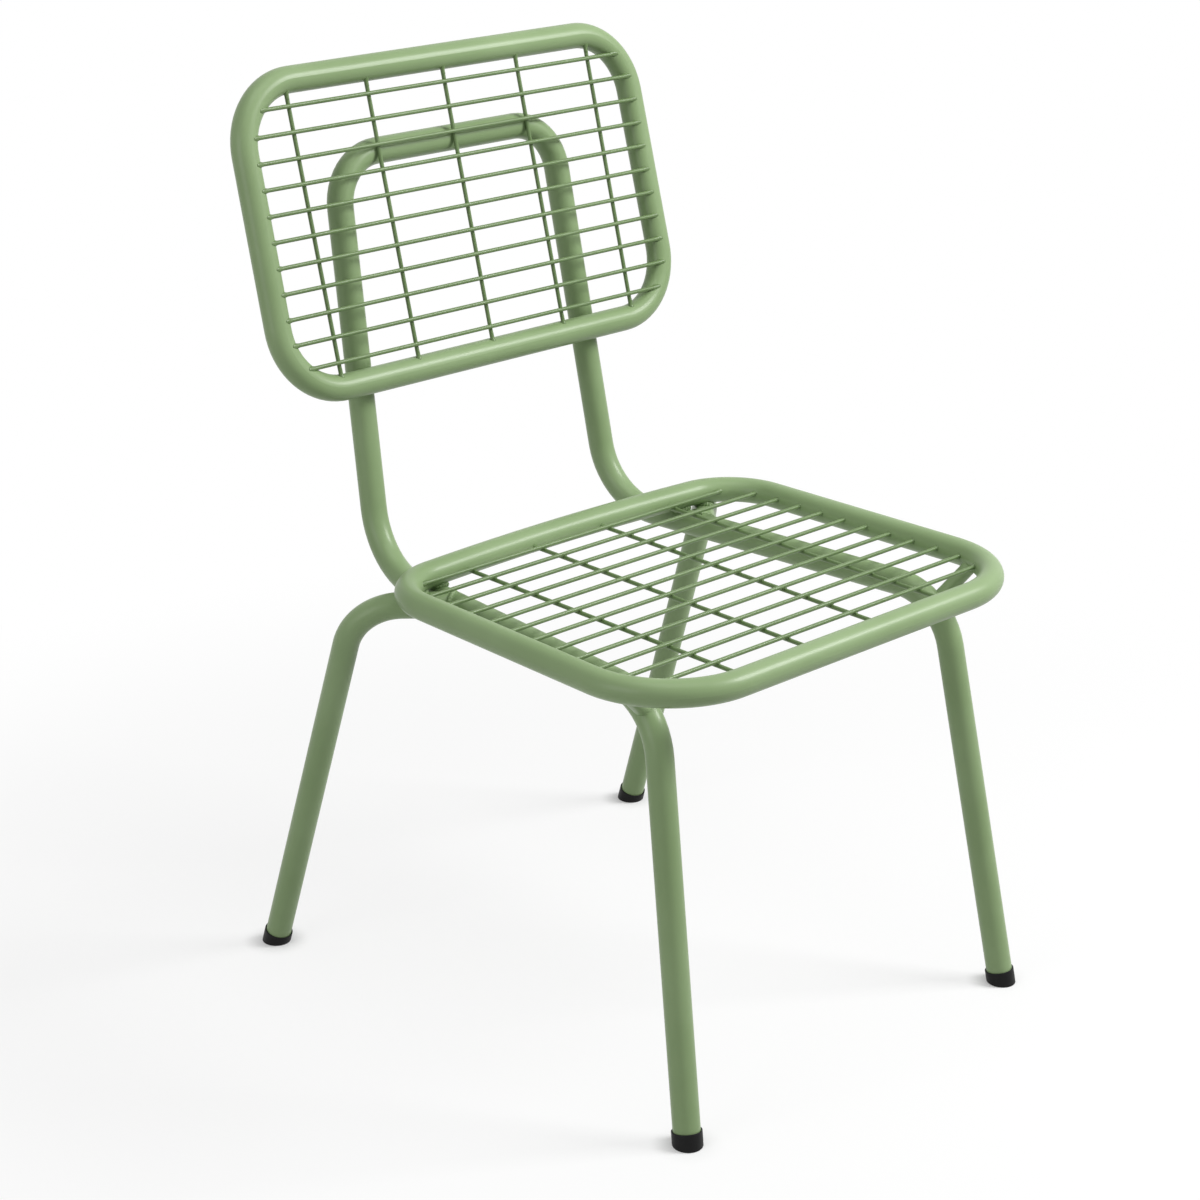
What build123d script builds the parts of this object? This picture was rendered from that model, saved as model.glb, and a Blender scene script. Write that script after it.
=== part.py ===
from build123d import *
import math
import os

# Metal dining chair: bent round tube with welded wire mesh in the seat and the back.
# Millimetres. +Z is up, the sitter faces -Y, and the origin lies on the floor under the
# middle of the chair. Left is -X and right is +X, as seen by someone who faces the chair.

# Stock
TUBE_DIAMETER = 25.0
TUBE_WALL = 1.5
WIRE_DIAMETER = 4.0
WELD_GAP = 0.1  # left between two pieces that a weld joins

# Seat loop, along the middle of its tube
SEAT_HEIGHT = 427.5  # floor to the top of the tube
SEAT_DEPTH = 376.0
SEAT_FRONT_WIDTH = 477.0
SEAT_REAR_WIDTH = 455.0
SEAT_FRONT_RADIUS = 87.0
SEAT_REAR_RADIUS = 63.0
SEAT_REAR_CROWN = 16.0  # how far behind the rear corners the rear rail's two halves aim
SEAT_CROWN_SHARE = 0.9  # share of the rear rail's straight halves that the crown's arc takes
SEAT_FRONT_Y = -273.1

# Back loop, along the middle of its tube
BACK_RISE = 160.0  # seat loop to the bottom rail, straight up
BACK_HEIGHT = 285.0
BACK_BOTTOM_WIDTH = 486.0
BACK_TOP_WIDTH = 478.0
BACK_CORNER_RADIUS = 63.0

# Main frame tube: front leg, rail under the seat, upright and top bar, then down the other side
FRONT_FOOT_SPREAD = 431.0
FRONT_FOOT_LEAD = 10.5  # feet in front of the seat's front rail
FRONT_BEND_SPREAD = 375.0
FRONT_BEND_SETBACK = 62.0  # bends behind the seat's front rail
FRONT_BEND_RADIUS = 61.0
REAR_BEND_SPREAD = 303.0
REAR_BEND_SETBACK = 100.0  # bends behind the seat's rear corners
REAR_BEND_RADIUS = 72.0
UPRIGHT_LEAN = 10.5  # degrees
HOOP_RISE = 199.0  # the back's bottom rail to the top bar, straight up
HOOP_SPREAD = 269.0
HOOP_RADIUS = 50.0

# Rear leg tubes, each bent inwards under the seat and welded to the main frame's rail
REAR_FOOT_SPREAD = 492.0
REAR_FOOT_SETBACK = 166.0  # feet behind the seat's rear corners
REAR_LEG_BEND_SPREAD = 463.0
REAR_LEG_BEND_SETBACK = 39.0  # bends behind the seat's rear corners
REAR_LEG_BEND_RADIUS = 55.0
REAR_LEG_JOINT_LEAD = 22.0  # joints with the rails in front of the seat's rear corners

# Seat mesh: cross wires from side to side lie on long wires from front to back
SEAT_CROSS_WIRES = 13
SEAT_LONG_WIRES = 4
SEAT_MESH_EDGE_GAP = 0.5  # between the end cross wires and the front and rear tubes
SEAT_MESH_SIDE_SPACE = 96.0  # rear corner of the loop to the outer long wire
SEAT_MESH_DROP = 2.5  # long wires below the middle of the tube

# Back mesh: cross wires lie on upright wires, on the sitter's side
BACK_CROSS_WIRES = 11
BACK_LONG_WIRES = 5
BACK_MESH_END_SPACE = 24.0  # bottom and top rails to the end cross wires
BACK_MESH_SIDE_SPACE = 57.0  # bottom corner of the loop to the outer upright wire
BACK_MESH_RISE = 5.5  # upright wires in front of the middle of the tube

# Foot caps, pushed over the leg ends
CAP_WALL = 1.3
CAP_CLEARANCE = 0.1
CAP_SOLE = 7.5  # floor to the end of the tube, along the leg
CAP_HEIGHT = 14.0  # floor to the rim, along the leg
CAP_EDGE = 1.2

# Stays between the front bends and the seat loop
STAY_DIAMETER = 14.0

# Weld beads
BEAD_RADIUS = 8.0
BEAD_CORE = 4.5  # radius of the unwelded middle where two tubes touch
BEAD_THROAT = 3.0  # thickness of the bead round a tube's end

SIDES = {"left": -1, "right": 1}

os.makedirs("parts", exist_ok=True)

# Levels and places that follow from the sizes
tube_radius = TUBE_DIAMETER / 2
wire_radius = WIRE_DIAMETER / 2
welded_step = TUBE_DIAMETER + WELD_GAP
wire_step = WIRE_DIAMETER + WELD_GAP
seat_z = SEAT_HEIGHT - tube_radius
rail_z = seat_z - welded_step
seat_rear_y = SEAT_FRONT_Y + SEAT_DEPTH
rear_bend_y = seat_rear_y + REAR_BEND_SETBACK
back_bottom_z = seat_z + BACK_RISE
hoop_z = back_bottom_z + HOOP_RISE

# The uprights lean back, the back loop's bottom rail rests on their fronts, and the loop leans
# just so far that its upright wires rest on the front of the top bar
lean = math.radians(UPRIGHT_LEAN)
hoop_y = rear_bend_y + (hoop_z - rail_z) * math.tan(lean)
upright_y = rear_bend_y + (back_bottom_z - rail_z) * math.tan(lean)
back_bottom_y = upright_y - welded_step / math.cos(lean)
hoop_setback = tube_radius + WELD_GAP + wire_radius - BACK_MESH_RISE
hoop_run = hoop_y - back_bottom_y
back_lean = math.atan2(hoop_run, HOOP_RISE) - math.asin(hoop_setback / math.hypot(hoop_run, HOOP_RISE))

seat_plane = Plane.XY.offset(seat_z)
back_plane = Plane(
    origin=(0, back_bottom_y, back_bottom_z),
    x_dir=(1, 0, 0),
    z_dir=(0, -math.cos(back_lean), math.sin(back_lean)),
)


def front_foot(side):
    """Point on the floor under a front leg."""
    return Vector(side * FRONT_FOOT_SPREAD / 2, SEAT_FRONT_Y - FRONT_FOOT_LEAD, 0)


def front_bend(side):
    """Corner between a front leg and the rail."""
    return Vector(side * FRONT_BEND_SPREAD / 2, SEAT_FRONT_Y + FRONT_BEND_SETBACK, rail_z)


def rear_bend(side):
    """Corner between the rail and an upright."""
    return Vector(side * REAR_BEND_SPREAD / 2, rear_bend_y, rail_z)


def hoop_corner(side):
    """Corner between an upright and the top bar."""
    return Vector(side * HOOP_SPREAD / 2, hoop_y, hoop_z)


def rear_foot(side):
    """Point on the floor under a rear leg."""
    return Vector(side * REAR_FOOT_SPREAD / 2, seat_rear_y + REAR_FOOT_SETBACK, 0)


def rear_leg_bend(side):
    """Corner between a rear leg and its run under the seat."""
    return Vector(side * REAR_LEG_BEND_SPREAD / 2, seat_rear_y + REAR_LEG_BEND_SETBACK, rail_z)


def rear_leg_joint(side):
    """Point on the rail's middle line that a rear leg's run aims at."""
    start, end = front_bend(side), rear_bend(side)
    joint_y = seat_rear_y - REAR_LEG_JOINT_LEAD
    return start + (end - start) * ((joint_y - start.Y) / (end.Y - start.Y))


def leg_end(foot, bend):
    """End of a leg's tube, on the inner floor of its cap."""
    return foot + (bend - foot).normalized() * CAP_SOLE


def square_to(path):
    """Plane square to a path, at its start."""
    return Plane(origin=path @ 0, z_dir=path % 0)


def bar_along(path, margin=0.0):
    """Full round bar along a path, as wide as the tube and a margin."""
    with BuildPart() as bar:
        with BuildSketch(square_to(path)):
            Circle(tube_radius + margin)
        sweep(path=path)
    return bar.part


def keep(piece, name):
    """Name a finished piece and write it."""
    piece.part.label = name
    export_step(piece.part, f"parts/{name}.step")


# Middle lines of the tubes
rear_half = SEAT_REAR_WIDTH / 2
crown_slope = SEAT_REAR_CROWN / rear_half
rear_straight = rear_half - SEAT_REAR_RADIUS * (1 + crown_slope)
crown_radius = SEAT_CROWN_SHARE * rear_straight / crown_slope
with BuildLine(seat_plane) as seat_line:
    FilletPolyline(
        (SEAT_FRONT_WIDTH / 2, SEAT_FRONT_Y),
        (rear_half, seat_rear_y),
        (0, seat_rear_y + SEAT_REAR_CROWN),
        (-rear_half, seat_rear_y),
        (-SEAT_FRONT_WIDTH / 2, SEAT_FRONT_Y),
        radius=[SEAT_FRONT_RADIUS, SEAT_REAR_RADIUS, crown_radius, SEAT_REAR_RADIUS, SEAT_FRONT_RADIUS],
        close=True,
    )
seat_path = seat_line.wire()

with BuildLine(back_plane) as back_line:
    FilletPolyline(
        (BACK_BOTTOM_WIDTH / 2, 0),
        (BACK_TOP_WIDTH / 2, BACK_HEIGHT),
        (-BACK_TOP_WIDTH / 2, BACK_HEIGHT),
        (-BACK_BOTTOM_WIDTH / 2, 0),
        radius=[BACK_CORNER_RADIUS] * 4,
        close=True,
    )
back_path = back_line.wire()

main_corners = [front_bend, rear_bend, hoop_corner]
main_radii = [FRONT_BEND_RADIUS, REAR_BEND_RADIUS, HOOP_RADIUS]
with BuildLine() as main_line:
    FilletPolyline(
        leg_end(front_foot(1), front_bend(1)),
        *[corner(1) for corner in main_corners],
        *[corner(-1) for corner in reversed(main_corners)],
        leg_end(front_foot(-1), front_bend(-1)),
        radius=main_radii + main_radii[::-1],
    )
main_path = main_line.wire()

leg_paths = {}
for name, side in SIDES.items():
    with BuildLine() as leg_line:
        FilletPolyline(
            leg_end(rear_foot(side), rear_leg_bend(side)),
            rear_leg_bend(side),
            rear_leg_joint(side),
            radius=REAR_LEG_BEND_RADIUS,
        )
    leg_paths[name] = leg_line.wire()

# Full bars in place of the tubes, which the weld beads are cut by
seat_bar = bar_along(seat_path)
back_bar = bar_along(back_path)
main_bar = bar_along(main_path)
leg_bars = [bar_along(leg_path) for leg_path in leg_paths.values()]

# The same bars with the welded gap round them, which the other pieces are cut back by
seat_clearance = bar_along(seat_path, WELD_GAP)
back_clearance = bar_along(back_path, WELD_GAP)
main_clearance = bar_along(main_path, WELD_GAP)

# Seat loop
with BuildPart() as seat_loop:
    with BuildSketch(square_to(seat_path)):
        Circle(tube_radius)
        Circle(tube_radius - TUBE_WALL, mode=Mode.SUBTRACT)
    sweep(path=seat_path)
keep(seat_loop, "seat_loop")

# Back loop
with BuildPart() as back_loop:
    with BuildSketch(square_to(back_path)):
        Circle(tube_radius)
        Circle(tube_radius - TUBE_WALL, mode=Mode.SUBTRACT)
    sweep(path=back_path)
keep(back_loop, "back_loop")

# Main frame
with BuildPart() as main_frame:
    with BuildSketch(square_to(main_path)):
        Circle(tube_radius)
        Circle(tube_radius - TUBE_WALL, mode=Mode.SUBTRACT)
    sweep(path=main_path)
keep(main_frame, "main_frame")

# Rear legs, their upper ends cut to the round of the rail
for name, leg_path in leg_paths.items():
    with BuildPart() as rear_leg:
        with BuildSketch(square_to(leg_path)):
            Circle(tube_radius)
            Circle(tube_radius - TUBE_WALL, mode=Mode.SUBTRACT)
        sweep(path=leg_path)
        add(main_clearance, mode=Mode.SUBTRACT)
    keep(rear_leg, f"rear_leg_{name}")

# Room inside each loop, which the mesh wires fill from tube to tube
with BuildPart() as seat_room:
    extrude(Face(seat_path), amount=TUBE_DIAMETER, both=True)
    add(seat_clearance, mode=Mode.SUBTRACT)
with BuildPart() as back_room:
    extrude(Face(back_path), amount=TUBE_DIAMETER, both=True)
    add(back_clearance, mode=Mode.SUBTRACT)

# Seat cross wires
first_cross = SEAT_FRONT_Y + tube_radius + SEAT_MESH_EDGE_GAP + wire_radius
last_cross = seat_rear_y - tube_radius - SEAT_MESH_EDGE_GAP - wire_radius
cross_pitch = (last_cross - first_cross) / (SEAT_CROSS_WIRES - 1)
for index in range(SEAT_CROSS_WIRES):
    wire_y = first_cross + index * cross_pitch
    with BuildPart() as seat_cross:
        with BuildSketch(Plane((0, wire_y, seat_z - SEAT_MESH_DROP + wire_step), z_dir=(1, 0, 0))):
            Circle(wire_radius)
        extrude(amount=SEAT_FRONT_WIDTH, both=True)
        add(seat_room.part, mode=Mode.INTERSECT)
    keep(seat_cross, f"seat_cross_wire_{index + 1:02d}")

# Seat long wires
outer_long = SEAT_REAR_WIDTH / 2 - SEAT_MESH_SIDE_SPACE
for index in range(SEAT_LONG_WIRES):
    wire_x = outer_long * (2 * index / (SEAT_LONG_WIRES - 1) - 1)
    with BuildPart() as seat_long:
        with BuildSketch(Plane((wire_x, 0, seat_z - SEAT_MESH_DROP), z_dir=(0, 1, 0))):
            Circle(wire_radius)
        extrude(amount=SEAT_DEPTH, both=True)
        add(seat_room.part, mode=Mode.INTERSECT)
    keep(seat_long, f"seat_long_wire_{index + 1}")

# Back cross wires
back_pitch = (BACK_HEIGHT - 2 * BACK_MESH_END_SPACE) / (BACK_CROSS_WIRES - 1)
for index in range(BACK_CROSS_WIRES):
    wire_rise = BACK_MESH_END_SPACE + index * back_pitch
    wire_start = back_plane.from_local_coords((0, wire_rise, BACK_MESH_RISE + wire_step))
    with BuildPart() as back_cross:
        with BuildSketch(Plane(wire_start, z_dir=back_plane.x_dir)):
            Circle(wire_radius)
        extrude(amount=BACK_BOTTOM_WIDTH, both=True)
        add(back_room.part, mode=Mode.INTERSECT)
    keep(back_cross, f"back_cross_wire_{index + 1:02d}")

# Back upright wires
outer_upright = BACK_BOTTOM_WIDTH / 2 - BACK_MESH_SIDE_SPACE
for index in range(BACK_LONG_WIRES):
    wire_x = outer_upright * (2 * index / (BACK_LONG_WIRES - 1) - 1)
    wire_start = back_plane.from_local_coords((wire_x, BACK_HEIGHT / 2, BACK_MESH_RISE))
    with BuildPart() as back_long:
        with BuildSketch(Plane(wire_start, z_dir=back_plane.y_dir)):
            Circle(wire_radius)
        extrude(amount=BACK_HEIGHT, both=True)
        add(back_room.part, mode=Mode.INTERSECT)
    keep(back_long, f"back_upright_wire_{index + 1}")

# Foot caps: a round cup along the leg, cut flat at the floor
cap_radius = tube_radius + CAP_CLEARANCE + CAP_WALL
feet = {}
for name, side in SIDES.items():
    feet[f"front_foot_cap_{name}"] = (front_foot(side), front_bend(side))
    feet[f"rear_foot_cap_{name}"] = (rear_foot(side), rear_leg_bend(side))
for name, (foot, bend) in feet.items():
    cap_plane = Plane(foot, z_dir=bend - foot)
    with BuildPart() as foot_cap:
        with BuildSketch(cap_plane.offset(-cap_radius)):
            Circle(cap_radius)
        extrude(amount=cap_radius + CAP_HEIGHT)
        split(bisect_by=Plane.XY, keep=Keep.TOP)
        fillet(foot_cap.edges().group_by(Axis.Z)[0], CAP_EDGE)
        with BuildSketch(cap_plane.offset(CAP_SOLE)):
            Circle(tube_radius + CAP_CLEARANCE)
        extrude(amount=CAP_HEIGHT, mode=Mode.SUBTRACT)
    keep(foot_cap, name)

# Front stays: a short round bar from each front bend to the nearest point of the seat loop
for name, side in SIDES.items():
    corner = front_bend(side)
    forward = (corner - rear_bend(side)).normalized()
    down = (front_foot(side) - corner).normalized()
    half_turn = math.radians(forward.get_angle(down)) / 2
    bend_depth = FRONT_BEND_RADIUS / math.cos(half_turn) - FRONT_BEND_RADIUS
    bend_middle = corner + (down - forward).normalized() * bend_depth
    _, start, end = Vertex(bend_middle).distance_to_with_closest_points(seat_path)
    with BuildPart() as stay:
        with BuildSketch(Plane(start, z_dir=end - start)):
            Circle(STAY_DIAMETER / 2)
        extrude(amount=(end - start).length)
        add(seat_clearance, mode=Mode.SUBTRACT)
        add(main_clearance, mode=Mode.SUBTRACT)
    keep(stay, f"front_stay_{name}")

# Weld beads where two tubes touch side by side: a ring round the point of touch
rails = [Edge.make_line(front_bend(side), rear_bend(side)) for side in SIDES.values()]
uprights = [Edge.make_line(rear_bend(side), hoop_corner(side)) for side in SIDES.values()]
touching = {
    "seat_rail_welds": (rails, seat_path, [seat_bar, main_bar]),
    "seat_leg_welds": (leg_paths.values(), seat_path, [seat_bar] + leg_bars),
    "back_upright_welds": (uprights, back_path, [back_bar, main_bar]),
}
touches = {}
for weld_name, (lower_lines, loop_path, bars) in touching.items():
    touches[weld_name] = [line.distance_to_with_closest_points(loop_path)[1:] for line in lower_lines]
    with BuildPart() as beads:
        for low, high in touches[weld_name]:
            with BuildSketch(Plane(low, z_dir=high - low)):
                Circle(BEAD_RADIUS)
                Circle(BEAD_CORE, mode=Mode.SUBTRACT)
            extrude(amount=(high - low).length)
        for bar in bars:
            add(bar, mode=Mode.SUBTRACT)
    keep(beads, weld_name)

# Weld beads round the rear legs' upper ends, where they meet the rails and leave room for the
# beads under the seat
leg_bead_bars = [bar_along(leg_path, BEAD_THROAT) for leg_path in leg_paths.values()]
rail_bead_bar = bar_along(main_path, BEAD_THROAT)
with BuildPart() as bead_room:
    for low, high in touches["seat_rail_welds"] + touches["seat_leg_welds"]:
        with BuildSketch(Plane(low, z_dir=high - low)):
            Circle(BEAD_RADIUS + WELD_GAP)
        extrude(amount=(high - low).length)
with BuildPart() as leg_rail_welds:
    for bar in leg_bead_bars:
        add(bar)
    add(rail_bead_bar, mode=Mode.INTERSECT)
    for bar in [main_bar] + leg_bars + [seat_clearance, bead_room.part]:
        add(bar, mode=Mode.SUBTRACT)
keep(leg_rail_welds, "leg_rail_welds")
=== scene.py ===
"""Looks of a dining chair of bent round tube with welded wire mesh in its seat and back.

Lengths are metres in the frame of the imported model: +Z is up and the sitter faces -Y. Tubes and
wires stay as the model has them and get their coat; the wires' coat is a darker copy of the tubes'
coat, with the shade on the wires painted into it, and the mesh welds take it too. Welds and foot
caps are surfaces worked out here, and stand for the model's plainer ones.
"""
import logging
import math
from dataclasses import dataclass
from enum import Enum
from typing import Any, Iterator, Mapping

import bpy
import numpy as np
from mathutils import Matrix, Vector


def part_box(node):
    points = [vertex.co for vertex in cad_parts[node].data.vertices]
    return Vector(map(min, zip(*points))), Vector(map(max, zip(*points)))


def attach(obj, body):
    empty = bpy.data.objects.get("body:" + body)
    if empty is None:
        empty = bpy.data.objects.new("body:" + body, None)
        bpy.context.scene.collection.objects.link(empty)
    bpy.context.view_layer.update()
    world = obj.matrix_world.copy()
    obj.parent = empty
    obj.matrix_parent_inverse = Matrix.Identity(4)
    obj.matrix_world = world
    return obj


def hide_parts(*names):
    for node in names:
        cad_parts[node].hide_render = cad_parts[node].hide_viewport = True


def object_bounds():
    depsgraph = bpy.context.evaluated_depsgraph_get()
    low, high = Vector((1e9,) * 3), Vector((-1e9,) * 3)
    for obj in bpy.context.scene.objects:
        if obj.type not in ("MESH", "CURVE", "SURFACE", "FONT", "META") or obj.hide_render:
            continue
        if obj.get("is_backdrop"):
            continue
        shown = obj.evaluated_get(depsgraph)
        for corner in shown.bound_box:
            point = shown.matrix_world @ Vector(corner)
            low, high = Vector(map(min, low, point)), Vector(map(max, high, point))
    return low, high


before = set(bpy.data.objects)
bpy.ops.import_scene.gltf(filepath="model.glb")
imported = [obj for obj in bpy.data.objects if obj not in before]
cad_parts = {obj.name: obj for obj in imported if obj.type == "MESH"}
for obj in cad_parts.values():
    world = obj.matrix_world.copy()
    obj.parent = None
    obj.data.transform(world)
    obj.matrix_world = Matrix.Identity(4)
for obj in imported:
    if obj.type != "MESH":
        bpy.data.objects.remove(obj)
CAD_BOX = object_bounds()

LOG = logging.getLogger("chair")
BODY = "root"
FULL_TURN = 2 * math.pi
MM = 0.001
NOISE_MIDDLE = 0.5

Colour = tuple[float, float, float, float]
WHITE: Colour = (1.0, 1.0, 1.0, 1.0)


class Slot(Enum):
    """Material slots of the record."""

    COAT = "green_coat"
    CAP = "black_cap"


class Side(Enum):
    """Sides of the chair as seen by someone who faces it, with their sign along X."""

    LEFT = -1
    RIGHT = 1

    @property
    def word(self) -> str:
        """The side's word in node names."""
        return self.name.lower()


# The frame's nodes and sizes


def corners(node: str) -> np.ndarray:
    """Lowest and highest corner of a node, as the two rows of an array."""
    return np.array([list(corner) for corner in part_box(node)])


def middle(node: str) -> np.ndarray:
    """Middle of a node's box."""
    return corners(node).mean(axis=0)


def nodes_named(prefix: str) -> list[str]:
    """Names of the nodes that start with a prefix, in order."""
    return sorted(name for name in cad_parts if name.startswith(prefix))


def unit(vectors: np.ndarray) -> np.ndarray:
    """Vectors scaled to length one along their last axis."""
    return vectors / np.linalg.norm(vectors, axis=-1, keepdims=True)


def square_pair(along: np.ndarray) -> tuple[np.ndarray, np.ndarray]:
    """Two directions that make a right-handed set with a direction.

    Args:
        along: unit vectors, none of them upright.

    Returns:
        The level direction square to each, and the one square to both.
    """
    level = unit(np.cross((0.0, 0.0, 1.0), along))
    return level, np.cross(along, level)


TUBE_RADIUS = float(np.ptp(corners("seat_loop")[:, 2]) / 2)
WIRE_RADIUS = float(np.ptp(corners("seat_cross_wire_01")[:, 2]) / 2)
RAIL_LEVEL = float(corners("rear_leg_left")[1, 2] - TUBE_RADIUS)


# Shader maths


@dataclass(frozen=True)
class Value:
    """A number that changes over a surface: a socket that Python's operators work on."""

    shader: "Shader"
    socket: bpy.types.NodeSocket

    def _math(self, operation: str, *operands: Any) -> "Value":
        """Add a Math node.

        Args:
            operation: the node's operation.
            operands: its numbers or values, in order.

        Returns:
            The node's result.
        """
        node = self.shader.node("ShaderNodeMath", {"operation": operation}, dict(enumerate(operands)))
        return Value(self.shader, node.outputs[0])

    def __add__(self, other: Any) -> "Value":
        """Sum."""
        return self._math("ADD", self, other)

    __radd__ = __add__

    def __sub__(self, other: Any) -> "Value":
        """Difference."""
        return self._math("SUBTRACT", self, other)

    def __rsub__(self, other: Any) -> "Value":
        """Difference, from a number."""
        return self._math("SUBTRACT", other, self)

    def __mul__(self, other: Any) -> "Value":
        """Product."""
        return self._math("MULTIPLY", self, other)

    __rmul__ = __mul__

    def either(self, other: "Value") -> "Value":
        """The larger of two values."""
        return self._math("MAXIMUM", self, other)

    def step(self, low: float, high: float) -> "Value":
        """Smooth step from 0 to 1.

        Args:
            low: the value up to which it is 0.
            high: the value from which it is 1.

        Returns:
            The step.
        """
        sockets = {"Value": self, "From Min": low, "From Max": high}
        node = self.shader.node("ShaderNodeMapRange", {"interpolation_type": "SMOOTHSTEP"}, sockets)
        return Value(self.shader, node.outputs[0])


class Shader:
    """Node tree of a material or a world, built up node by node."""

    def __init__(self, owner: Any) -> None:
        """Start with an empty tree.

        Args:
            owner: the material or world that the tree belongs to.
        """
        owner.use_nodes = True
        self.tree = owner.node_tree
        self.tree.nodes.clear()

    def node(self, kind: str, settings: Mapping[str, Any], sockets: Mapping[Any, Any]) -> bpy.types.Node:
        """Add one node.

        Args:
            kind: the node's type.
            settings: its properties, set first.
            sockets: numbers, colours or links of its inputs, by name or index.

        Returns:
            The node.
        """
        node = self.tree.nodes.new(kind)
        for name, setting in settings.items():
            setattr(node, name, setting)
        for name, content in sockets.items():
            source = content.socket if isinstance(content, Value) else content
            if isinstance(source, bpy.types.NodeSocket):
                self.tree.links.new(source, node.inputs[name])
            else:
                node.inputs[name].default_value = source
        return node

    def place(self) -> bpy.types.NodeSocket:
        """Object coordinates, which are the frame's metres on every piece."""
        return self.node("ShaderNodeTexCoord", {}, {}).outputs["Object"]

    def away(self, point: np.ndarray) -> Value:
        """Distance from a point.

        Args:
            point: the point, in the frame.

        Returns:
            The distance in metres.
        """
        sockets = {0: self.place(), 1: point.tolist()}
        node = self.node("ShaderNodeVectorMath", {"operation": "DISTANCE"}, sockets)
        return Value(self, node.outputs["Value"])

    def height(self) -> Value:
        """Height above the floor."""
        return Value(self, self.node("ShaderNodeSeparateXYZ", {}, {0: self.place()}).outputs["Z"])

    def noise(self, scale: float, detail: float) -> Value:
        """Cloudy noise over the object, about 0 to 1.

        Args:
            scale: waves to a metre.
            detail: number of finer layers.

        Returns:
            The noise.
        """
        sockets = {"Vector": self.place(), "Scale": scale, "Detail": detail}
        return Value(self, self.node("ShaderNodeTexNoise", {}, sockets).outputs["Fac"])

    def seen(self) -> Value:
        """What tells rays that show a surface from those that only light something.

        Returns:
            One for rays from the camera, a reflection or a clear piece, and zero for the others.
        """
        paths = self.node("ShaderNodeLightPath", {}, {}).outputs
        camera, glossy, clear = (
            Value(self, paths[f"Is {kind} Ray"]) for kind in ("Camera", "Glossy", "Transmission")
        )
        return camera.either(glossy).either(clear)

    def blend(self, share: Value, first: Any, second: Any) -> bpy.types.NodeSocket:
        """Mix two colours.

        Args:
            share: 0 for the first colour, 1 for the second.
            first: a linear colour, or a link to one.
            second: a linear colour, or a link to one.

        Returns:
            The mixed colour.
        """
        return self.node("ShaderNodeMixRGB", {}, {0: share, 1: first, 2: second}).outputs[0]

    def bump(self, height: Value, distance: float) -> bpy.types.NodeSocket:
        """Normal of a bumpy surface.

        Args:
            height: the height, 0 to 1.
            distance: metres from 0 to 1.

        Returns:
            The normal.
        """
        sockets = {"Height": height, "Distance": distance}
        return self.node("ShaderNodeBump", {}, sockets).outputs["Normal"]


# Finishes


@dataclass(frozen=True)
class PowderCoat:
    """Green powder coat: satin, with a fine orange peel and slightly uneven colour."""

    name: str = "green_powder_coat"
    light: Colour = (0.264, 0.372, 0.182, 1.0)
    deep: Colour = (0.229, 0.331, 0.152, 1.0)
    patches_per_metre: float = 9.0
    patch_detail: float = 3.0
    patch_low: float = 0.3
    patch_high: float = 0.7
    peel_per_metre: float = 700.0
    peel_detail: float = 1.0
    peel_depth: float = 0.05 * MM
    roughness: float = 0.46
    roughness_swing: float = 0.10
    specular: float = 0.25
    gloss: float = 0.29
    gloss_roughness: float = 0.24
    gloss_index: float = 1.42

    def material(self) -> bpy.types.Material:
        """Coarse noise shifts the colour, and fine noise makes the peel and shifts the roughness.

        Returns:
            The material.
        """
        material = bpy.data.materials.new(self.name)
        shader = Shader(material)
        cloud = shader.noise(self.patches_per_metre, self.patch_detail)
        patches = cloud.step(self.patch_low, self.patch_high)
        peel = shader.noise(self.peel_per_metre, self.peel_detail)
        sockets = {
            "Base Color": shader.blend(patches, self.deep, self.light),
            "Roughness": self.roughness + self.roughness_swing * (peel - NOISE_MIDDLE),
            "Specular IOR Level": self.specular,
            "Coat Weight": self.gloss,
            "Coat Roughness": self.gloss_roughness,
            "Coat IOR": self.gloss_index,
            "Normal": shader.bump(peel, self.peel_depth),
        }
        surface = shader.node("ShaderNodeBsdfPrincipled", {}, sockets)
        shader.node("ShaderNodeOutputMaterial", {}, {"Surface": surface.outputs[0]})
        return material


# Darker copy of the green coat for the wires and their mesh welds: painted shade, since the thin wires
# render too light under the lamps.
WIRE_COAT_WITH_PAINTED_SHADE = PowderCoat(
    name="green_powder_coat_on_wire",
    light=(0.150, 0.232, 0.090, 1.0),
    deep=(0.122, 0.196, 0.070, 1.0),
)


@dataclass(frozen=True)
class CapPlastic:
    """Black moulded plastic: matt, finely grained, scuffed near the floor."""

    name: str = "black_cap_plastic"
    black: Colour = (0.006, 0.006, 0.006, 1.0)
    scuffed: Colour = (0.022, 0.021, 0.020, 1.0)
    specular: float = 0.16
    grain_per_metre: float = 1600.0
    grain_detail: float = 2.0
    grain_depth: float = 0.06 * MM
    scuffs_per_metre: float = 260.0
    scuff_detail: float = 4.0
    scuff_low: float = 0.5
    scuff_high: float = 0.75
    scuff_height: float = 6.0 * MM
    roughness: float = 0.48
    roughness_swing: float = 0.16

    def material(self) -> bpy.types.Material:
        """Fine noise makes the grain, and a coarser one the scuffs, which fade out above the floor.

        Returns:
            The material.
        """
        material = bpy.data.materials.new(self.name)
        shader = Shader(material)
        grain = shader.noise(self.grain_per_metre, self.grain_detail)
        low = 1.0 - shader.height().step(0.0, self.scuff_height)
        rubs = shader.noise(self.scuffs_per_metre, self.scuff_detail)
        scuff = low * rubs.step(self.scuff_low, self.scuff_high)
        sockets = {
            "Base Color": shader.blend(scuff, self.black, self.scuffed),
            "Roughness": self.roughness + self.roughness_swing * (grain - NOISE_MIDDLE + scuff),
            "Specular IOR Level": self.specular,
            "Normal": shader.bump(grain, self.grain_depth),
        }
        surface = shader.node("ShaderNodeBsdfPrincipled", {}, sockets)
        shader.node("ShaderNodeOutputMaterial", {}, {"Surface": surface.outputs[0]})
        return material


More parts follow.
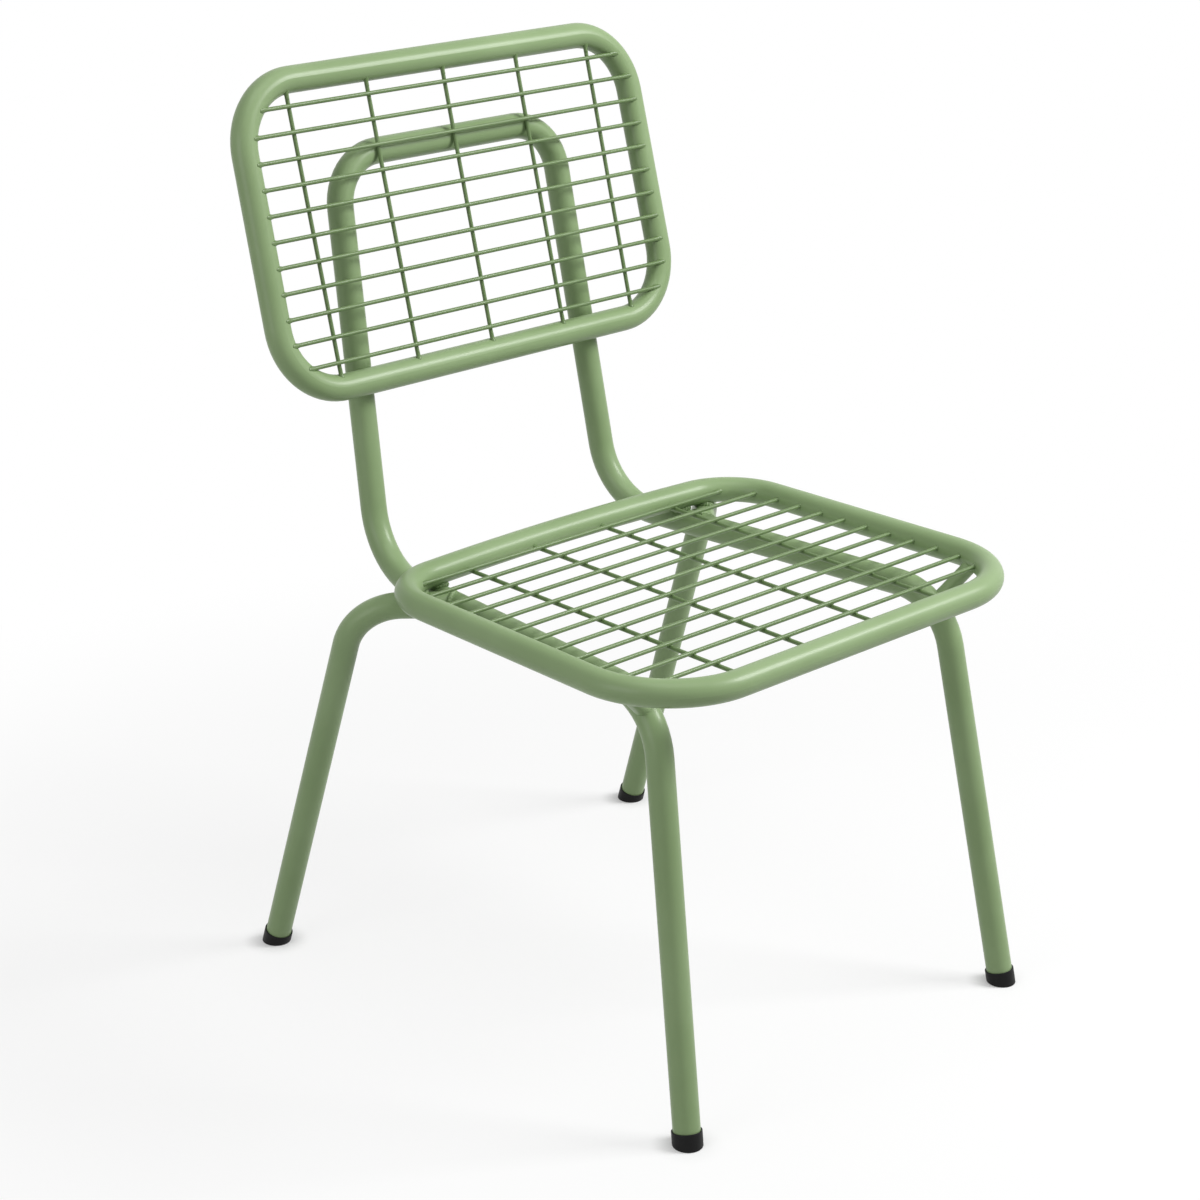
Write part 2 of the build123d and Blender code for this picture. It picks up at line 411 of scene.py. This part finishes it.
@dataclass(frozen=True)
class StudioFloor:
    """White paper floor that keeps a faint shadow round the chair, deepest beside its feet."""

    feet: list[np.ndarray]
    name: str = "studio_floor"
    paper: Colour = (0.90, 0.90, 0.90, 1.0)
    bounce: Colour = (0.52, 0.52, 0.52, 1.0)
    roughness: float = 1.0
    specular: float = 0.0
    glow: float = 0.77
    foot_loss: float = 0.50
    foot_start: float = 12.0 * MM
    foot_end: float = 36.0 * MM
    fade_start: float = 0.55
    fade_end: float = 1.2

    def material(self) -> bpy.types.Material:
        """Mix of lit paper and plain white where it is seen.

        The white's share is less close to the feet and grows to one away from the chair.

        Returns:
            The material.
        """
        material = bpy.data.materials.new(self.name)
        shader = Shader(material)
        seen = shader.seen()
        sockets = {
            "Base Color": shader.blend(seen, self.bounce, self.paper),
            "Roughness": self.roughness,
            "Specular IOR Level": self.specular,
        }
        lit = shader.node("ShaderNodeBsdfPrincipled", {}, sockets)
        plain = shader.node("ShaderNodeEmission", {}, {"Color": WHITE})
        far = shader.away(np.zeros(3)).step(self.fade_start, self.fade_end)
        near = [1.0 - shader.away(foot).step(self.foot_start, self.foot_end) for foot in self.feet]
        glow = seen * (self.glow + (1.0 - self.glow) * far - self.foot_loss * sum(near))
        mixed = {0: glow, 1: lit.outputs[0], 2: plain.outputs[0]}
        surface = shader.node("ShaderNodeMixShader", {}, mixed)
        shader.node("ShaderNodeOutputMaterial", {}, {"Surface": surface.outputs[0]})
        return material


# Surfaces


def add_surface(
    name: str, patches: np.ndarray, slot: Slot, material: bpy.types.Material, ring: bool
) -> bpy.types.Object:
    """Put closed surfaces into one mesh that rides on the chair.

    Each patch is a grid of points whose columns close on themselves. The rows of a ring close
    too. Otherwise a fan of triangles about the middle of the first and of the last row closes
    it. The faces are turned so that the volume inside them is positive.

    Args:
        name: name of the object.
        patches: points, as patches by rows by columns by three.
        slot: the record's slot of its finish; not used.
        material: its finish.
        ring: whether the rows close on themselves.

    Returns:
        The object.
    """
    count, rows, columns, _ = patches.shape
    points = patches.reshape(-1, 3)
    index = np.arange(len(points)).reshape(count, rows, columns)
    fans = np.empty((0, 3), int)
    if ring:
        index = np.concatenate([index, index[:, :1]], axis=1)
    beside = np.roll(index, -1, axis=2)
    quads = np.stack([index[:, :-1], beside[:, :-1], beside[:, 1:], index[:, 1:]], axis=-1)
    quads = quads.reshape(-1, 4)
    if not ring:
        poles = len(points) + np.arange(2 * count).reshape(2, count, 1)
        poles = np.broadcast_to(poles, (2, count, columns))
        first = np.stack([poles[0], beside[:, 0], index[:, 0]], axis=-1)
        last = np.stack([poles[1], index[:, -1], beside[:, -1]], axis=-1)
        fans = np.concatenate([first, last]).reshape(-1, 3)
        points = np.concatenate([points, patches[:, 0].mean(axis=1), patches[:, -1].mean(axis=1)])
    triangles = np.concatenate([quads[:, [0, 1, 2]], quads[:, [0, 2, 3]], fans])
    a, b, c = (points[triangles[:, k]] - points[0] for k in range(3))
    if np.sum(a * np.cross(b, c)) < 0:
        quads, fans = quads[:, ::-1], fans[:, ::-1]
    mesh = bpy.data.meshes.new(name)
    mesh.from_pydata(points.tolist(), [], quads.tolist() + fans.tolist())
    mesh.polygons.foreach_set("use_smooth", np.ones(len(mesh.polygons), bool))
    mesh.materials.append(material)
    mesh.update()
    piece = bpy.data.objects.new(name, mesh)
    bpy.context.scene.collection.objects.link(piece)
    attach(piece, BODY)
    return piece


@dataclass(frozen=True)
class TubeLine:
    """Middle line of a bent tube: straight runs joined by arcs that touch both runs."""

    corners: np.ndarray
    radii: np.ndarray
    closed: bool
    arc_steps: int = 40
    run_steps: int = 60
    drop_rounds: int = 12

    def points(self) -> np.ndarray:
        """Points at both ends of every run and along every arc.

        With a and b the directions from a corner to its neighbours and h half the angle between
        them, the arc's centre lies radius / sin h from the corner, along a + b. The arc's ends p
        and q lie radius / tan h from the corner, along a and b. Its points are
        centre + (sin((1 - t) w) p + sin(t w) q) / sin w, with p and q seen from the centre, w the
        turn of 180 degrees less 2 h, and t from 0 to 1.

        Returns:
            The points in order.
        """
        bent = slice(None) if self.closed else slice(1, -1)
        corner = self.corners[bent]
        before = unit(np.roll(self.corners, 1, axis=0)[bent] - corner)
        after = unit(np.roll(self.corners, -1, axis=0)[bent] - corner)
        half = np.arccos(np.sum(before * after, axis=-1, keepdims=True)) / 2
        radius = self.radii[:, None]
        centre = corner + unit(before + after) * radius / np.sin(half)
        start = corner + before * radius / np.tan(half) - centre
        end = corner + after * radius / np.tan(half) - centre
        turn = (math.pi - 2 * half)[:, None]
        share = np.linspace(0, 1, self.arc_steps)[:, None]
        swing = np.sin((1 - share) * turn) * start[:, None] + np.sin(share * turn) * end[:, None]
        arcs = (centre[:, None] + swing / np.sin(turn)).reshape(-1, 3)
        if self.closed:
            return np.concatenate([arcs, arcs[:1]])
        return np.concatenate([self.corners[:1], arcs, self.corners[-1:]])

    def nearest(self, places: np.ndarray) -> tuple[np.ndarray, np.ndarray]:
        """Drop places onto the line.

        Each place is dropped square onto every stretch between two points, held to the stretch,
        and its shortest drop counts.

        Args:
            places: points, along the last axis.

        Returns:
            The nearest point of the line and its direction there, for each place.
        """
        line = self.points()
        start, run = line[:-1], np.diff(line, axis=0)
        share = np.sum((places[..., None, :] - start) * run, axis=-1) / np.sum(run * run, axis=-1)
        drops = start + np.clip(share, 0, 1)[..., None] * run
        best = np.linalg.norm(places[..., None, :] - drops, axis=-1).argmin(axis=-1)
        found = np.take_along_axis(drops, best[..., None, None], axis=-2)[..., 0, :]
        return found, unit(run)[best]

    def touch(self, other: "TubeLine") -> tuple[np.ndarray, np.ndarray, np.ndarray, np.ndarray]:
        """Where this line comes nearest to another one.

        Points all along this line are dropped onto the other, and the nearest of them is then
        dropped to and fro until both ends stand square.

        Args:
            other: the line that it passes.

        Returns:
            The point on this line, the point on the other, and the direction of each line there.
        """
        line = self.points()
        share = np.linspace(0, 1, self.run_steps)[:, None, None]
        places = (line[:-1] * (1 - share) + line[1:] * share).reshape(-1, 3)
        drops, _ = other.nearest(places)
        here = places[np.linalg.norm(places - drops, axis=-1).argmin()]
        for _ in range(self.drop_rounds):
            there, there_along = other.nearest(here)
            here, here_along = self.nearest(there)
        return here, there, here_along, there_along


# Tubes


@dataclass(frozen=True)
class SeatLoop:
    """Seat's closed tube: a level rounded trapezium with a slightly crowned rear rail."""

    front_width: float = 0.477
    rear_width: float = 0.455
    depth: float = 0.376
    front_radius: float = 0.087
    rear_radius: float = 0.063
    crown: float = 0.016
    crown_share: float = 0.9

    @property
    def front_y(self) -> float:
        """Place of the front rail's middle line."""
        return float(corners("seat_loop")[0, 1] + TUBE_RADIUS)

    @property
    def rear_y(self) -> float:
        """Place of the rear corners of the middle line."""
        return self.front_y + self.depth

    def line(self) -> TubeLine:
        """Middle line of the tube.

        The rear rail's two halves lead back to the crown, and an arc that touches both takes up
        most of what the corners leave of them.

        Returns:
            The line, from the front right corner round by the rear.
        """
        level, rear_y = middle("seat_loop")[2], self.rear_y
        front, rear = self.front_width / 2, self.rear_width / 2
        slope = self.crown / rear
        crown_radius = self.crown_share * (rear - self.rear_radius * (1 + slope)) / slope
        points = [(front, self.front_y, level), (rear, rear_y, level), (0, rear_y + self.crown, level)]
        points += [(-rear, rear_y, level), (-front, self.front_y, level)]
        radii = [self.front_radius, self.rear_radius, crown_radius, self.rear_radius, self.front_radius]
        return TubeLine(np.array(points), np.array(radii), closed=True)


@dataclass(frozen=True)
class BackLoop:
    """Back's closed tube: a leaning rounded trapezium."""

    bottom_width: float = 0.486
    top_width: float = 0.478
    corner_radius: float = 0.063

    def line(self) -> TubeLine:
        """Middle line of the tube, from the bottom rail's place to the top rail's in the frame.

        Returns:
            The line, from the lower right corner round by the top.
        """
        low, high = corners("back_loop")
        bottom, top = low[1:] + TUBE_RADIUS, high[1:] - TUBE_RADIUS
        points = [(self.bottom_width / 2, *bottom), (self.top_width / 2, *top)]
        points += [(-self.top_width / 2, *top), (-self.bottom_width / 2, *bottom)]
        return TubeLine(np.array(points), np.full(len(points), self.corner_radius), closed=True)


@dataclass(frozen=True)
class LegFrame:
    """Main tube, from a front leg over rail and upright to the middle of the top bar, and rear legs."""

    seat: SeatLoop
    front_foot_spread: float = 0.431
    front_foot_lead: float = 0.0105
    front_bend_spread: float = 0.375
    front_bend_setback: float = 0.062
    front_bend_radius: float = 0.061
    rear_bend_spread: float = 0.303
    rear_bend_setback: float = 0.100
    rear_bend_radius: float = 0.072
    hoop_spread: float = 0.269
    hoop_radius: float = 0.050
    rear_foot_spread: float = 0.492
    rear_foot_setback: float = 0.166
    leg_bend_spread: float = 0.463
    leg_bend_setback: float = 0.039
    leg_bend_radius: float = 0.055
    joint_lead: float = 0.022

    def front_foot(self, side: Side) -> np.ndarray:
        """Point on the floor under a front leg."""
        place = self.seat.front_y - self.front_foot_lead
        return np.array([side.value * self.front_foot_spread / 2, place, 0.0])

    def front_bend(self, side: Side) -> np.ndarray:
        """Corner between a front leg and its rail."""
        place = self.seat.front_y + self.front_bend_setback
        return np.array([side.value * self.front_bend_spread / 2, place, RAIL_LEVEL])

    def rear_bend(self, side: Side) -> np.ndarray:
        """Corner between a rail and its upright."""
        place = self.seat.rear_y + self.rear_bend_setback
        return np.array([side.value * self.rear_bend_spread / 2, place, RAIL_LEVEL])

    def rear_foot(self, side: Side) -> np.ndarray:
        """Point on the floor under a rear leg."""
        place = self.seat.rear_y + self.rear_foot_setback
        return np.array([side.value * self.rear_foot_spread / 2, place, 0.0])

    def feet(self) -> list[np.ndarray]:
        """Points on the floor under all four legs."""
        return [foot(side) for side in Side for foot in (self.front_foot, self.rear_foot)]

    def leg_bend(self, side: Side) -> np.ndarray:
        """Corner between a rear leg and its run under the seat."""
        place = self.seat.rear_y + self.leg_bend_setback
        return np.array([side.value * self.leg_bend_spread / 2, place, RAIL_LEVEL])

    def joint(self, side: Side) -> np.ndarray:
        """Point on a rail's middle line that the rear leg's run aims at.

        Args:
            side: the rail's side.

        Returns:
            The point.
        """
        start, end = self.front_bend(side), self.rear_bend(side)
        share = (self.seat.rear_y - self.joint_lead - start[1]) / (end[1] - start[1])
        return start + (end - start) * share

    def main_line(self, side: Side) -> TubeLine:
        """Middle line of one half of the main tube.

        Args:
            side: the half's side.

        Returns:
            The line, from the foot to the middle of the top bar.
        """
        hoop = corners("main_frame")[1] - TUBE_RADIUS
        hoop_corner = (side.value * self.hoop_spread / 2, *hoop[1:])
        points = [self.front_foot(side), self.front_bend(side), self.rear_bend(side), hoop_corner]
        points.append((0.0, *hoop[1:]))
        radii = [self.front_bend_radius, self.rear_bend_radius, self.hoop_radius]
        return TubeLine(np.array(points), np.array(radii), closed=False)

    def rear_line(self, side: Side) -> TubeLine:
        """Middle line of a rear leg."""
        points = [self.rear_foot(side), self.leg_bend(side), self.joint(side)]
        return TubeLine(np.array(points), np.array([self.leg_bend_radius]), closed=False)


# Welds


@dataclass(frozen=True)
class Wires:
    """Parallel round bars read from their nodes."""

    prefix: str
    along: np.ndarray
    radius: float = WIRE_RADIUS

    def middles(self) -> np.ndarray:
        """Middles of the bars."""
        return np.array([middle(name) for name in nodes_named(self.prefix)])

    def ends(self) -> np.ndarray:
        """Both ends of each bar's middle line.

        A bar's box is as long as the bar and as its round ends lean, so half the box less the
        radius times the lean's sine, over its cosine, is half the bar.

        Returns:
            The ends, as bars by two by three.
        """
        axis = int(np.abs(self.along).argmax())
        cosine = abs(self.along[axis])
        boxes = np.array([np.ptp(corners(name)[:, axis]) for name in nodes_named(self.prefix)])
        half = (boxes / 2 - self.radius * math.sqrt(1 - cosine**2)) / cosine
        reach = half[:, None, None] * np.array([-1.0, 1.0])[None, :, None] * self.along
        return self.middles()[:, None] + reach


@dataclass(frozen=True)
class WireMesh:
    """Welds of one wire mesh: spots where wires cross, and collars where they meet their loop."""

    name: str
    loop: TubeLine
    cross: Wires
    long: Wires
    spot_radius: float = 2.3 * MM
    spot_rise: float = 1.2 * MM
    spot_rows: int = 5
    spot_columns: int = 8
    collar_flare: float = 0.9 * MM
    collar_fade: float = 3.2 * MM
    collar_reach: float = 7.0 * MM
    collar_sink: float = 2.5 * MM
    collar_inset: float = 0.05 * MM
    collar_rows: int = 14
    collar_columns: int = 20

    def spots(self) -> np.ndarray:
        """Flat ellipsoids between crossing wires.

        At polar angle p and turn q a point lies radius sin p (cos q, sin q) in the mesh's plane
        and rise cos p along its normal from the middle of the crossing.

        Returns:
            Points, as crossings by rows by columns by three.
        """
        across, along = self.cross.along, self.long.along
        normal = np.cross(across, along)
        crosses, longs = self.cross.middles()[:, None], self.long.middles()[None, :]
        offset = longs - crosses
        middles = crosses + across * np.sum(offset * across, axis=-1, keepdims=True)
        middles = middles + normal * np.sum(offset * normal, axis=-1, keepdims=True) / 2
        polar = np.linspace(0, math.pi, self.spot_rows + 2)[1:-1, None, None]
        turn = np.linspace(0, FULL_TURN, self.spot_columns, endpoint=False)[None, :, None]
        flat = self.spot_radius * np.sin(polar) * (np.cos(turn) * across + np.sin(turn) * along)
        shape = flat + self.spot_rise * np.cos(polar) * normal
        return middles.reshape(-1, 1, 1, 3) + shape

    def collars(self) -> np.ndarray:
        """Flared welds round the wires' ends.

        A collar's radius is the wire's plus flare (1 - d / fade) squared, where d is how far the
        wire's surface still is from the loop's. Further out than fade it sinks into the wire.

        Returns:
            Points, as ends by rows by columns by three.
        """
        return np.concatenate([self._flares(wires) for wires in (self.cross, self.long)])

    def _flares(self, wires: Wires) -> np.ndarray:
        """Collars of one set of wires.

        Args:
            wires: the wires.

        Returns:
            Points, as ends by rows by columns by three.
        """
        ends = wires.ends()
        outward = np.stack([-wires.along, wires.along])
        level, square = (side[None, :, None, None] for side in square_pair(outward))
        travel = np.linspace(-self.collar_reach, self.collar_sink, self.collar_rows)[:, None]
        spine = (ends[:, :, None] + travel * outward[None, :, None])[:, :, :, None]
        turn = np.linspace(0, FULL_TURN, self.collar_columns, endpoint=False)[:, None]
        radial = np.cos(turn) * level + np.sin(turn) * square
        skin = spine + wires.radius * radial
        drops, _ = self.loop.nearest(skin)
        away = np.linalg.norm(skin - drops, axis=-1, keepdims=True) - TUBE_RADIUS
        nearness = np.clip(1 - away / self.collar_fade, 0, 1)
        flared = spine + (wires.radius - self.collar_inset + self.collar_flare * nearness**2) * radial
        return flared.reshape(-1, self.collar_rows, self.collar_columns, 3)

    def build(self, coat: bpy.types.Material) -> Iterator[bpy.types.Object]:
        """Make both sets of welds.

        Args:
            coat: their finish.

        Yields:
            The objects.
        """
        yield add_surface(f"{self.name}_mesh_spot_welds", self.spots(), Slot.COAT, coat, ring=False)
        yield add_surface(f"{self.name}_mesh_end_welds", self.collars(), Slot.COAT, coat, ring=False)


@dataclass(frozen=True)
class Beads:
    """Rippled weld beads between tubes."""

    ring_radius: float = 8.0 * MM
    ring_throat: float = 0.9 * MM
    saddle_radius: float = 2.6 * MM
    ripple_share: float = 0.10
    ripple_length: float = 2.4 * MM
    around: int = 120
    section: int = 14

    def _ripple(self, turn: np.ndarray, length: float) -> np.ndarray:
        """Swell of a bead along its length: 1 + share sin(n turn), with n whole ripples."""
        return 1 + self.ripple_share * np.sin(round(length / self.ripple_length) * turn)

    def ring(self, lower: TubeLine, upper: TubeLine) -> np.ndarray:
        """Bead round the point where two tubes touch.

        At turn q about the line between the tubes, a tube's skin is r - sqrt(r^2 - s^2) from the
        plane of touch, with s the ring's radius times the sine of the angle to that tube's
        line. The bead's middle lies halfway between both skins, and its radius is half the gap
        plus a throat, with ripples.

        Args:
            lower: one tube's middle line.
            upper: the other's.

        Returns:
            Points, as one patch by rows by columns by three.
        """
        low, high, low_along, high_along = lower.touch(upper)
        normal = unit(high - low)
        first = unit(low_along - normal * (low_along @ normal))
        second = np.cross(normal, first)
        turn = np.linspace(0, FULL_TURN, self.around, endpoint=False)[:, None, None]
        out = np.cos(turn) * first + np.sin(turn) * second
        sides = [
            self.ring_radius * np.linalg.norm(np.cross(out, along), axis=-1, keepdims=True)
            for along in (low_along, high_along)
        ]
        below, above = (TUBE_RADIUS - np.sqrt(TUBE_RADIUS**2 - side**2) for side in sides)
        spine = (low + high) / 2 + self.ring_radius * out + normal * (above - below) / 2
        ripple = self._ripple(turn, FULL_TURN * self.ring_radius)
        radius = (self.ring_throat + (above + below) / 2) * ripple
        angle = np.linspace(0, FULL_TURN, self.section, endpoint=False)[None, :, None]
        return (spine + radius * (np.cos(angle) * out + np.sin(angle) * normal))[None]

    def saddle(self, leg: TubeLine, rail: TubeLine) -> np.ndarray:
        """Bead round a leg's end where it meets the side of a rail.

        From every point of the leg's round section a line along the leg meets the rail's skin
        where its distance from the rail's middle line is the tube's radius, a quadratic. The
        bead follows those points, and its radius has ripples.

        Args:
            leg: the leg's middle line, which ends on the rail's.
            rail: the rail's middle line.

        Returns:
            Points, as one patch by rows by columns by three.
        """
        end = leg.corners[-1]
        along = unit(end - leg.corners[-2])
        _, rail_along = rail.nearest(end)
        level, square = square_pair(along)
        turn = np.linspace(0, FULL_TURN, self.around, endpoint=False)[:, None, None]
        out = np.cos(turn) * level + np.sin(turn) * square
        skin = TUBE_RADIUS * out
        ahead = along - rail_along * (along @ rail_along)
        aside = skin - rail_along * (skin @ rail_along)[..., None]
        a, b = ahead @ ahead, (aside @ ahead)[..., None]
        c = np.sum(aside * aside, axis=-1, keepdims=True) - TUBE_RADIUS**2
        travel = (-b - np.sqrt(np.maximum(b * b - a * c, 0))) / a
        spine = end + skin + travel * along
        radius = self.saddle_radius * self._ripple(turn, FULL_TURN * TUBE_RADIUS)
        angle = np.linspace(0, FULL_TURN, self.section, endpoint=False)[None, :, None]
        return (spine + radius * (np.cos(angle) * out - np.sin(angle) * along))[None]

    def build(
        self, seat: TubeLine, back: TubeLine, legs: LegFrame, coat: bpy.types.Material
    ) -> Iterator[bpy.types.Object]:
        """Make the beads, each kind in place of its plain node.

        Args:
            seat: the seat loop's middle line.
            back: the back loop's middle line.
            legs: the leg tubes.
            coat: their finish.

        Yields:
            The objects.
        """
        kinds = {
            "seat_rail": [self.ring(legs.main_line(side), seat) for side in Side],
            "seat_leg": [self.ring(legs.rear_line(side), seat) for side in Side],
            "back_upright": [self.ring(legs.main_line(side), back) for side in Side],
            "leg_rail": [self.saddle(legs.rear_line(side), legs.main_line(side)) for side in Side],
        }
        for kind, patches in kinds.items():
            pair = np.concatenate(patches)
            beads = add_surface(f"{kind}_weld_beads", pair, Slot.COAT, coat, ring=True)
            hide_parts(f"{kind}_welds")
            yield beads


# Foot caps


@dataclass(frozen=True)
class FootCap:
    """Black cup pushed over a leg's end and cut level at the floor."""

    node: str
    foot: np.ndarray
    bend: np.ndarray
    outer: float = 13.9 * MM
    inner: float = 12.6 * MM
    sole: float = 7.5 * MM
    height: float = 14.0 * MM
    edge: float = 1.2 * MM
    ring_share: float = 0.5
    arc_steps: int = 6
    columns: int = 72

    def surface(self) -> np.ndarray:
        """The cup's skin, from the middle of its foot over the rim to its inner floor.

        Each row has a radius and a height along the leg. The outer rows start where a line along
        the leg leaves the floor, which is at minus the radius times the slope of its turn.
        The lower edge and the rim are rounded by quarter and half circles. Both floors have one
        more ring, at a share of their radius.

        Returns:
            Points, as one patch by rows by columns by three.
        """
        along = unit(self.bend - self.foot)
        level, square = square_pair(along)
        quarter = np.linspace(0, math.pi / 2, self.arc_steps)
        half = np.linspace(0, math.pi, 2 * self.arc_steps)
        rim = (self.outer - self.inner) / 2
        radii = np.concatenate([
            [self.ring_share * self.outer],
            self.outer - self.edge * (1 - np.sin(quarter)),
            self.inner + rim + rim * np.cos(half),
            [self.inner, self.ring_share * self.inner],
        ])
        floor_share = np.concatenate([np.ones(1 + len(quarter)), np.zeros(len(half) + 2)])
        rises = np.concatenate([
            [0.0],
            self.edge * (1 - np.cos(quarter)),
            self.height - rim + rim * np.sin(half),
            [self.sole, self.sole],
        ])
        turn = np.linspace(0, FULL_TURN, self.columns, endpoint=False)[None, :, None]
        radial = np.cos(turn) * level + np.sin(turn) * square
        radii, floor_share, rises = (rows[:, None, None] for rows in (radii, floor_share, rises))
        to_floor = -radii * radial[..., 2:] / along[2]
        return (self.foot + radii * radial + (rises + floor_share * to_floor) * along)[None]

    def build(self, plastic: bpy.types.Material) -> bpy.types.Object:
        """Make the cap in place of its plain node.

        Args:
            plastic: its finish.

        Returns:
            The object.
        """
        cap = add_surface(f"{self.node}_moulded", self.surface(), Slot.CAP, plastic, ring=False)
        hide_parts(self.node)
        return cap


# Studio


@dataclass(frozen=True)
class Softbox:
    """Large square soft lamp that faces the chair."""

    name: str
    azimuth: float
    elevation: float
    distance: float
    size: float
    power: float

    def build(self, target: Vector) -> bpy.types.Object:
        """Hang the lamp.

        Args:
            target: the point that it faces.

        Returns:
            The lamp's object.
        """
        lamp = bpy.data.lights.new(self.name, "AREA")
        lamp.shape = "SQUARE"
        lamp.size = self.size
        lamp.energy = self.power
        holder = bpy.data.objects.new(self.name, lamp)
        holder.matrix_world = facing(target, self.azimuth, self.elevation, self.distance)
        bpy.context.scene.collection.objects.link(holder)
        return holder


def facing(target: Vector, azimuth: float, elevation: float, distance: float) -> Matrix:
    """Place of a camera or lamp that faces a point.

    Args:
        target: the point.
        azimuth: degrees round the chair from its front towards +X.
        elevation: degrees above level.
        distance: metres from the point.

    Returns:
        The matrix, with X to the right, Y up and Z back from the point.
    """
    turn, rise = math.radians(azimuth), math.radians(elevation)
    back = Vector((math.sin(turn) * math.cos(rise), -math.cos(turn) * math.cos(rise), math.sin(rise)))
    right = Vector((math.cos(turn), math.sin(turn), 0.0))
    matrix = Matrix((right, back.cross(right), back)).transposed().to_4x4()
    matrix.translation = target + back * distance
    return matrix


@dataclass(frozen=True)
class Studio:
    """Camera at the photograph's angle, soft lamps, and a white floor and surround."""

    feet: list[np.ndarray]
    target: tuple[float, float, float] = (-0.130, -0.081, 0.431)
    azimuth: float = -43.28
    elevation: float = 20.82
    distance: float = 2.45
    lens: float = 82.77
    sensor: float = 36.0
    floor_half: float = 15.0
    floor_steps: int = 5
    ambient: float = 0.26
    lamps: tuple[Softbox, ...] = (
        Softbox("key_softbox", azimuth=50.0, elevation=39.0, distance=3.0, size=1.1, power=82.0),
        Softbox("top_softbox", azimuth=-20.0, elevation=82.0, distance=2.6, size=1.6, power=16.0),
        Softbox("fill_softbox", azimuth=-90.0, elevation=18.0, distance=3.2, size=1.8, power=24.0),
    )

    def camera(self) -> bpy.types.Object:
        """Set up the camera.

        Returns:
            The camera's object.
        """
        data = bpy.data.cameras.new("photo_camera")
        data.sensor_fit = "HORIZONTAL"
        data.sensor_width = self.sensor
        data.lens = self.lens
        camera = bpy.data.objects.new("photo_camera", data)
        camera.matrix_world = facing(Vector(self.target), self.azimuth, self.elevation, self.distance)
        bpy.context.scene.collection.objects.link(camera)
        bpy.context.scene.camera = camera
        return camera

    def floor(self) -> bpy.types.Object:
        """Lay the floor: a flat grid of squares.

        Returns:
            The floor's object.
        """
        line = np.linspace(-self.floor_half, self.floor_half, self.floor_steps)
        x, y = np.meshgrid(line, line)
        index = np.arange(x.size).reshape(x.shape)
        quads = np.stack([index[:-1, :-1], index[:-1, 1:], index[1:, 1:], index[1:, :-1]], axis=-1)
        mesh = bpy.data.meshes.new("studio_floor")
        points = np.stack([x, y, np.zeros_like(x)], axis=-1).reshape(-1, 3)
        mesh.from_pydata(points.tolist(), [], quads.reshape(-1, 4).tolist())
        mesh.materials.append(StudioFloor(self.feet).material())
        floor = bpy.data.objects.new("studio_floor", mesh)
        bpy.context.scene.collection.objects.link(floor)
        floor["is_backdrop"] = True
        return floor

    def surround(self) -> None:
        """Light the world: white where it is seen or mirrored, and a plain level elsewhere."""
        world = bpy.data.worlds.new("studio")
        bpy.context.scene.world = world
        shader = Shader(world)
        strength = self.ambient + (1.0 - self.ambient) * shader.seen()
        sky = shader.node("ShaderNodeBackground", {}, {"Color": WHITE, "Strength": strength})
        shader.node("ShaderNodeOutputWorld", {}, {"Surface": sky.outputs[0]})

    def build(self) -> None:
        """Set up everything round the chair."""
        bpy.context.scene.view_settings.view_transform = "Standard"
        self.surround()
        self.floor()
        self.camera()
        for lamp in self.lamps:
            lamp.build(Vector(self.target))


def dress_nodes(tube_coat: bpy.types.Material, shaded_wire_coat: bpy.types.Material) -> int:
    """Give every node of the model its coat.

    Args:
        tube_coat: the tubes' finish.
        shaded_wire_coat: the wires' finish, a darker copy of the coat with their shade painted in.

    Returns:
        The number of nodes.
    """
    for name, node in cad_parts.items():
        node.data.materials.clear()
        # Wires take the darker copy of the coat, which paints their shade.
        node.data.materials.append(shaded_wire_coat if "_wire_" in name else tube_coat)
    return len(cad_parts)


def write_sizes() -> None:
    """Work out the model's box and the dressed chair's box; nothing is written."""
    boxes = {"cad": CAD_BOX, "visual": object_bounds()}
    {name: [list(corner) for corner in box] for name, box in boxes.items()}


def main() -> None:
    """Build the chair's looks in order and log each piece."""
    logging.basicConfig(level=logging.INFO, format="%(message)s")
    coat = PowderCoat().material()
    # Darker copy of the coat for the wires and their welds: painted shade.
    shaded_wire_coat = WIRE_COAT_WITH_PAINTED_SHADE.material()
    plastic = CapPlastic().material()
    node_count = dress_nodes(coat, shaded_wire_coat)
    LOG.info("coated %d nodes", node_count)
    seat_loop = SeatLoop()
    legs = LegFrame(seat_loop)
    seat, back = seat_loop.line(), BackLoop().line()
    across, ahead = np.array([1.0, 0.0, 0.0]), np.array([0.0, 1.0, 0.0])
    back_cross = Wires("back_cross_wire", across)
    lowest, *_, highest = back_cross.middles()
    upward = unit(highest - lowest)
    meshes = [
        WireMesh("seat", seat, Wires("seat_cross_wire", across), Wires("seat_long_wire", ahead)),
        WireMesh("back", back, back_cross, Wires("back_upright_wire", upward)),
    ]
    # The mesh welds take the wires' darker coat: painted shade where the wires cross and where they meet
    # their loops.
    pieces = [piece for mesh in meshes for piece in mesh.build(shaded_wire_coat)]
    pieces += Beads().build(seat, back, legs, coat)
    for side in Side:
        ends = {
            "front": (legs.front_foot(side), legs.front_bend(side)),
            "rear": (legs.rear_foot(side), legs.leg_bend(side)),
        }
        for end, (foot, bend) in ends.items():
            pieces.append(FootCap(f"{end}_foot_cap_{side.word}", foot, bend).build(plastic))
    for piece in pieces:
        LOG.info("built %s with %d faces", piece.name, len(piece.data.polygons))
    Studio(legs.feet()).build()
    write_sizes()


if __name__ == "__main__":
    main()
